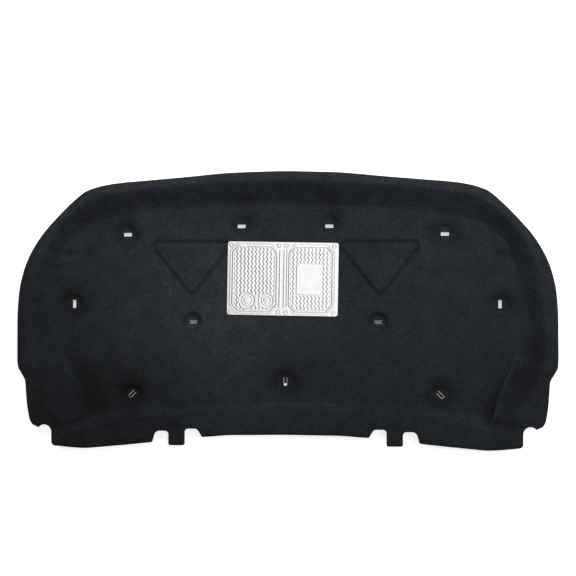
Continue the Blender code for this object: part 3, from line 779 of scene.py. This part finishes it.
strands = None
for turn in strand_turns:
    strand = felt_grain(150, 2, stretch=(1, 14, 4), turn=turn)
    strand = felt_math("POWER", felt_math("MULTIPLY", strand, 1.25), 7)
    strands = strand if strands is None else felt_math("MAXIMUM", strands, strand)
tone = felt_math("MULTIPLY", strands, strand_part)
for scale, detail, part in felt_clouds:
    tone = felt_math("ADD", tone, felt_math("MULTIPLY", felt_grain(scale, detail), part))
tone_ramp = felt_nodes.new("ShaderNodeValToRGB")
tone_ramp.color_ramp.elements[0].position = 0.41
tone_ramp.color_ramp.elements[0].color = (0.0122, 0.0141, 0.0160, 1)
tone_ramp.color_ramp.elements[1].position = 0.67
tone_ramp.color_ramp.elements[1].color = (0.0326, 0.0376, 0.0427, 1)
felt_links.new(tone, tone_ramp.inputs["Fac"])
# The colour is darkened by the painted shade at each point, and lightened where the painted light
# makes it negative.
painted_shade_attribute = felt_nodes.new("ShaderNodeAttribute")
painted_shade_attribute.attribute_name = "painted_shade"
darker = felt_math("MULTIPLY", painted_shade_attribute.outputs["Fac"], painted_shade_strength)
darker = felt_math("SUBTRACT", 1.0, darker)
felt_colour = felt_nodes.new("ShaderNodeVectorMath")
felt_colour.operation = "SCALE"
felt_links.new(tone_ramp.outputs["Color"], felt_colour.inputs[0])
felt_links.new(darker, felt_colour.inputs["Scale"])
felt_links.new(felt_colour.outputs["Vector"], felt_shader.inputs["Base Color"])
fuzz = felt_math("MULTIPLY", strands, 0.7)
for scale, detail, part in felt_fuzz:
    fuzz = felt_math("ADD", fuzz, felt_math("MULTIPLY", felt_grain(scale, detail), part))
felt_bump = felt_nodes.new("ShaderNodeBump")
felt_bump.inputs["Strength"].default_value = 0.6
felt_bump.inputs["Distance"].default_value = 0.0006
felt_links.new(fuzz, felt_bump.inputs["Height"])
felt_links.new(felt_bump.outputs["Normal"], felt_shader.inputs["Normal"])
felt.data.materials.append(felt_stuff)
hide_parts("felt_pad")
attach(felt, "root")


# Foil heat shield. A patch of aluminium foil, embossed between rollers and dies so that it is
# stiff, and stuck to the felt in the middle of the pad, a touch askew as a hand places it.
foil_length = 0.2566
foil_height = 0.1695
foil_corner = 0.006
foil_gap = 0.0003
foil_flange = 0.0006
foil_turn = math.radians(-1.0)
foil_centre = from_top(-0.0055, foil_top_drop + foil_height / 2)
zigzag_pitch = 0.0087
zigzag_period = 0.0112
zigzag_swing = 0.0019
zigzag_rise = 0.00047
left_panel = (-0.1135, -0.0165, -0.0725, 0.0725)
right_panel = (0.0175, 0.1125, -0.0725, 0.0725)
plain_field = (0.0305, 0.0915, -0.0370, 0.0360)
round_bosses = ((-0.0818, -0.0510, 0.0185), (-0.0372, -0.0510, 0.0170))
rivet_marks = [(x, y) for x in (-0.1190, -0.0085, 0.0085, 0.1190) for y in (-0.0770, 0.0770)]
centre_beads = (-0.0065, 0.0035, 0.0100)
rivet_mark_radius = 0.0042
chamfer = 0.013
ridge_width = 0.0026
field_fade = 0.0020
mark_fade = 0.0015
frame_place = 0.0026
frame_rise = 0.00070
outer_frame_place = 0.0080
outer_frame_rise = 0.00035
outer_frame_end = 0.020
outer_frame_width = ridge_width * 0.8
plain_field_corner = 0.004
plain_field_rise = 0.00045
boss_rings = ((0.0, 0.00050, 0.0022), (0.0065, 0.00035, 0.0020))
boss_middle_inset = 0.0100
boss_middle_fade = 0.002
boss_middle_rise = 0.00030
rivet_mark_width = 0.0014
rivet_mark_rise = 0.00050
centre_bead_width = 0.0024
centre_bead_end = 0.068
centre_bead_rise = 0.00042
end_fade = 0.004
wrinkle_waves = ((0.00008, 0.018, 11), (0.00003, 0.006, 12))
foil_fine_grid = 0.0009
foil_coarse_grid = 0.0080
foil_corner_step = 0.0010
foil_edge_step = 0.0015


def frame_distance(points, box, cut):
    """How far each point is outside a chamfered rectangle; negative inside it."""
    low_x, high_x, low_y, high_y = box
    middle = ((low_x + high_x) / 2, (low_y + high_y) / 2)
    x, y = np.abs(points - middle).T
    x = x - (high_x - low_x) / 2
    y = y - (high_y - low_y) / 2
    return np.maximum(np.maximum(x, y), (x + y + cut) / math.sqrt(2))


def ridge(distance, width):
    """A round-topped ridge along the zero of a distance."""
    return dent(np.abs(distance), width)


def foil_top(points):
    """Heights of the embossed foil above the flange's underside."""
    x, y = points.T
    swing = zigzag_swing * (2 * np.abs(2 * ((y / zigzag_period) % 1) - 1) - 1)
    zigzag = 0.5 + 0.5 * np.cos(2 * math.pi * (x - swing) / zigzag_pitch)
    height = np.full(len(points), foil_flange)
    for box in (left_panel, right_panel):
        away = frame_distance(points, box, chamfer)
        field = ease(-away / field_fade)
        for cx, cy, radius in round_bosses:
            field *= ease((np.hypot(x - cx, y - cy) - radius) / mark_fade)
        field *= ease(frame_distance(points, plain_field, plain_field_corner) / mark_fade)
        height += zigzag_rise * zigzag * field
        height += frame_rise * ridge(away - frame_place, ridge_width)
        outer = ridge(away - outer_frame_place, outer_frame_width)
        height += outer_frame_rise * outer * (np.abs(x) > outer_frame_end)
    plain = frame_distance(points, plain_field, plain_field_corner)
    height += plain_field_rise * ease(-plain / mark_fade)
    for cx, cy, radius in round_bosses:
        away = np.hypot(x - cx, y - cy) - radius
        for inset, rise, width in boss_rings:
            height += rise * ridge(away + inset, width)
        height += boss_middle_rise * ease(-(away + boss_middle_inset) / boss_middle_fade)
    for cx, cy in rivet_marks:
        away = np.hypot(x - cx, y - cy)
        height += rivet_mark_rise * ridge(away - rivet_mark_radius, rivet_mark_width)
    ends = ease((centre_bead_end - np.abs(y)) / end_fade)
    for cx in centre_beads:
        height += centre_bead_rise * ridge(x - cx, centre_bead_width) * ends
    held = ease((foil_height / 2 - np.abs(y)) / end_fade)
    for rise, size, seed in wrinkle_waves:
        height += rise * soft_noise(points, size, seed) * held
    return height


def foil_grid(step):
    """Points over the foil, clear of its cut edge."""
    x = np.arange(-foil_length / 2 + step / 2, foil_length / 2, step)
    y = np.arange(-foil_height / 2 + step / 2, foil_height / 2, step)
    grid = np.stack(np.meshgrid(x, y), axis=-1).reshape(-1, 2)
    return grid[inside(grid, foil_edge) & (nearest(grid, foil_edge)[0] > step / 3)]


foil_corners = [
    (sx * foil_length / 2, sy * foil_height / 2, foil_corner)
    for sx, sy in ((1, 1), (-1, 1), (-1, -1), (1, -1))
]
foil_edge = rounded(foil_corners, foil_corner_step, closed=True)
foil_edge = spaced(np.concatenate((foil_edge, foil_edge[:1])), foil_edge_step)[:-1]
foil = sheet_mesh(
    "embossed_foil",
    [foil_edge],
    foil_grid(foil_fine_grid),
    foil_top,
    foil_grid(foil_coarse_grid),
    lambda flat: np.zeros(len(flat)),
)
foil.location = (*foil_centre, panel_thickness + foil_gap)
foil.rotation_euler.z = foil_turn

foil_stuff = bpy.data.materials.new("bright_embossed_aluminium")
foil_stuff.use_nodes = True
foil_nodes = foil_stuff.node_tree.nodes
foil_links = foil_stuff.node_tree.links
foil_shader = foil_nodes["Principled BSDF"]
foil_shader.inputs["Metallic"].default_value = 1.0
foil_place = foil_nodes.new("ShaderNodeTexCoord").outputs["Object"]
foil_tint = foil_nodes.new("ShaderNodeTexNoise")
foil_tint.inputs["Scale"].default_value = 45
foil_tint.inputs["Detail"].default_value = 4
foil_links.new(foil_place, foil_tint.inputs["Vector"])
foil_ramp = foil_nodes.new("ShaderNodeValToRGB")
foil_ramp.color_ramp.elements[0].position = 0.3
foil_ramp.color_ramp.elements[0].color = (0.86, 0.865, 0.87, 1)
foil_ramp.color_ramp.elements[1].position = 0.7
foil_ramp.color_ramp.elements[1].color = (0.93, 0.935, 0.94, 1)
foil_links.new(foil_tint.outputs["Fac"], foil_ramp.inputs["Fac"])
foil_links.new(foil_ramp.outputs["Color"], foil_shader.inputs["Base Color"])
foil_smear = foil_nodes.new("ShaderNodeMapRange")
foil_smear.inputs["To Min"].default_value = 0.22
foil_smear.inputs["To Max"].default_value = 0.32
foil_links.new(foil_tint.outputs["Fac"], foil_smear.inputs["Value"])
foil_links.new(foil_smear.outputs["Result"], foil_shader.inputs["Roughness"])
foil_rolling = foil_nodes.new("ShaderNodeMapping")
foil_rolling.inputs["Scale"].default_value = (1, 12, 1)
foil_links.new(foil_place, foil_rolling.inputs["Vector"])
foil_lines = foil_nodes.new("ShaderNodeTexNoise")
foil_lines.inputs["Scale"].default_value = 260
foil_lines.inputs["Detail"].default_value = 3
foil_links.new(foil_rolling.outputs["Vector"], foil_lines.inputs["Vector"])
foil_bump = foil_nodes.new("ShaderNodeBump")
foil_bump.inputs["Strength"].default_value = 0.25
foil_bump.inputs["Distance"].default_value = 0.0001
foil_links.new(foil_lines.outputs["Fac"], foil_bump.inputs["Height"])
foil_links.new(foil_bump.outputs["Normal"], foil_shader.inputs["Normal"])
foil.data.materials.append(foil_stuff)
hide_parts("foil_heat_shield")
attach(foil, "root")


# Studio floor. Plain white, lit by the same lamps as the pad, and lifted to white where it is seen or
# mirrored, so that the pad's own soft shadow tints it. A painted shadow darkens its colour and its
# lift in an oval under the pad, where it shows only through the slots, and it is see-through from
# below.
floor_size = 14
floor_drop = 0.0006
floor_shadow_levels = ((0.10, 0.03), (0.19, 0.44), (0.283, 0.44), (0.300, 0.75), (0.700, 1.0))
bpy.ops.mesh.primitive_plane_add(size=floor_size, location=(0, 0, -floor_drop))
floor = bpy.context.object
floor.name = "studio_floor"
floor_paint = bpy.data.materials.new("white_floor")
floor_paint.use_nodes = True
floor_nodes = floor_paint.node_tree.nodes
floor_links = floor_paint.node_tree.links
floor_shader = floor_nodes["Principled BSDF"]
floor_shader.inputs["Roughness"].default_value = 0.9
floor_ray = floor_nodes.new("ShaderNodeLightPath")
floor_seen = floor_nodes.new("ShaderNodeMath")
floor_seen.operation = "MAXIMUM"
floor_links.new(floor_ray.outputs["Is Camera Ray"], floor_seen.inputs[0])
floor_links.new(floor_ray.outputs["Is Glossy Ray"], floor_seen.inputs[1])
floor_through = floor_nodes.new("ShaderNodeMath")
floor_through.operation = "MAXIMUM"
floor_links.new(floor_seen.outputs["Value"], floor_through.inputs[0])
floor_links.new(floor_ray.outputs["Is Transmission Ray"], floor_through.inputs[1])
floor_lift = floor_nodes.new("ShaderNodeMath")
floor_lift.operation = "MULTIPLY"
floor_links.new(floor_through.outputs["Value"], floor_lift.inputs[0])
# Painted shadow under the pad: the floor's colour and lift follow these levels outward from the
# oval's middle.
painted_shadow_oval = floor_nodes.new("ShaderNodeMapping")
painted_shadow_oval.inputs["Location"].default_value = (0, -0.016, 0)
painted_shadow_oval.inputs["Scale"].default_value = (0.5, 1, 1)
floor_links.new(floor_nodes.new("ShaderNodeTexCoord").outputs["Object"], painted_shadow_oval.inputs["Vector"])
floor_place = floor_nodes.new("ShaderNodeVectorMath")
floor_place.operation = "LENGTH"
floor_links.new(painted_shadow_oval.outputs["Vector"], floor_place.inputs[0])
floor_painted_shadow = floor_nodes.new("ShaderNodeFloatCurve")
floor_curve = floor_painted_shadow.mapping.curves[0]
for place, level in floor_shadow_levels:
    floor_curve.points.new(place, level)
for point in floor_curve.points:
    point.handle_type = "VECTOR"
floor_curve.points[0].location = (0.0, floor_shadow_levels[0][1])
floor_curve.points[-1].location = (1.0, floor_shadow_levels[-1][1])
floor_painted_shadow.mapping.update()
floor_links.new(floor_place.outputs["Value"], floor_painted_shadow.inputs["Value"])
floor_links.new(floor_painted_shadow.outputs["Value"], floor_lift.inputs[1])
floor_links.new(floor_painted_shadow.outputs["Value"], floor_shader.inputs["Base Color"])
floor_shader.inputs["Emission Color"].default_value = (1, 1, 1, 1)
floor_links.new(floor_lift.outputs["Value"], floor_shader.inputs["Emission Strength"])
floor_from_below = floor_nodes.new("ShaderNodeNewGeometry").outputs["Backfacing"]
floor_sides = floor_nodes.new("ShaderNodeMixShader")
floor_links.new(floor_from_below, floor_sides.inputs["Fac"])
floor_links.new(floor_shader.outputs["BSDF"], floor_sides.inputs[1])
floor_links.new(floor_nodes.new("ShaderNodeBsdfTransparent").outputs["BSDF"], floor_sides.inputs[2])
floor_links.new(floor_sides.outputs["Shader"], floor_nodes["Material Output"].inputs["Surface"])
floor.data.materials.append(floor_paint)


# Studio lamps. A key beyond the crowned edge and weaker ones at the left corner and on the right
# leave the walls on those sides darker than the panel. A wide one hangs overhead. Three soft spots
# lift the panel beside the foil, which mirrors neither them nor the corner lamp.
spot_height = 3.3
spot_shift = (0.05, 0.10)


def hang(lamp, place, aim):
    """Hang a lamp so that it faces the point it is aimed at."""
    holder = bpy.data.objects.new(lamp.name, lamp)
    bpy.context.scene.collection.objects.link(holder)
    across = np.array(aim, float) - place
    level = math.hypot(across[0], across[1])
    holder.location = place
    turn = math.atan2(across[1], across[0]) - math.pi / 2
    holder.rotation_euler = (math.atan2(level, -across[2]), 0, turn)
    holder.visible_camera = False
    return holder


for name, place, size, watts in (
    ("key", (0.10, 1.50, 1.00), 0.8, 19),
    ("corner", (-1.15, 1.10, 0.95), 0.8, 8),
    ("side", (1.65, 0.25, 1.00), 0.8, 14),
    ("overhead", (0.45, 0.20, 3.60), 2.2, 10),
):
    box_lamp = bpy.data.lights.new(name, "AREA")
    box_lamp.size = size
    box_lamp.energy = watts
    hang(box_lamp, place, (0, 0, 0)).visible_glossy = name != "corner"
for name, aim, reach, watts in (
    ("spot_by_foil", (-0.110, -0.040, 0), 0.25, 195),
    ("spot_by_shoulder", (-0.270, 0.110, 0), 0.25, 115),
    ("spot_on_right", (0.250, 0.100, 0), 0.25, 80),
):
    spot = bpy.data.lights.new(name, "SPOT")
    spot.energy = watts
    spot.shadow_soft_size = 0.15
    spot.spot_size = 2 * math.atan(reach / spot_height)
    spot.spot_blend = 1.0
    place = (aim[0] + spot_shift[0], aim[1] + spot_shift[1], spot_height)
    hang(spot, place, aim).visible_glossy = False


# Studio room. White where it is seen, faint as a light, and pale where the foil mirrors it, with
# one dark side, up and to the left, that draws the foil's emboss.
world = bpy.data.worlds.new("studio")
bpy.context.scene.world = world
world.use_nodes = True
world_nodes = world.node_tree.nodes
world_links = world.node_tree.links
world_nodes["Background"].inputs["Color"].default_value = (1, 1, 1, 1)
world_ray = world_nodes.new("ShaderNodeLightPath")
world_oval = world_nodes.new("ShaderNodeMapping")
world_oval.inputs["Location"].default_value = (0.50, 0, -0.866)
world_oval.inputs["Scale"].default_value = (1, 0.4, 1)
world_sight = world_nodes.new("ShaderNodeTexCoord").outputs["Generated"]
world_links.new(world_sight, world_oval.inputs["Vector"])
world_way = world_nodes.new("ShaderNodeVectorMath")
world_way.operation = "LENGTH"
world_links.new(world_oval.outputs["Vector"], world_way.inputs[0])
mirrored_world = world_nodes.new("ShaderNodeMapRange")
mirrored_world.inputs["From Min"].default_value = 0.06
mirrored_world.inputs["From Max"].default_value = 0.44
mirrored_world.inputs["To Min"].default_value = 0.04
mirrored_world.inputs["To Max"].default_value = 0.60
world_links.new(world_way.outputs["Value"], mirrored_world.inputs["Value"])
world_level = 0.08
for ray, level in (("Is Glossy Ray", mirrored_world.outputs["Result"]), ("Is Camera Ray", 1.0)):
    choice = world_nodes.new("ShaderNodeMix")
    world_links.new(world_ray.outputs[ray], choice.inputs["Factor"])
    for socket, value in zip(choice.inputs[2:4], (world_level, level)):
        if isinstance(value, float):
            socket.default_value = value
        else:
            world_links.new(value, socket)
    world_level = choice.outputs["Result"]
world_links.new(world_level, world_nodes["Background"].inputs["Strength"])


# Camera. It looks down on the pad from a little to the right of straight above.
camera_distance = 3.5
camera_yaw = math.radians(3.7)
camera_target = np.array((0.0072, 0.0516, 0.020))
seen_width = 1.3293
camera = bpy.data.objects.new("camera", bpy.data.cameras.new("camera"))
bpy.context.scene.collection.objects.link(camera)
camera.data.sensor_width = 36
camera.data.lens = camera.data.sensor_width * camera_distance / seen_width
camera_way = np.array((math.sin(camera_yaw), 0, math.cos(camera_yaw)))
camera.location = camera_target + camera_distance * camera_way
camera.rotation_euler = (0, camera_yaw, 0)
bpy.context.scene.camera = camera
bpy.context.scene.view_settings.view_transform = "Standard"
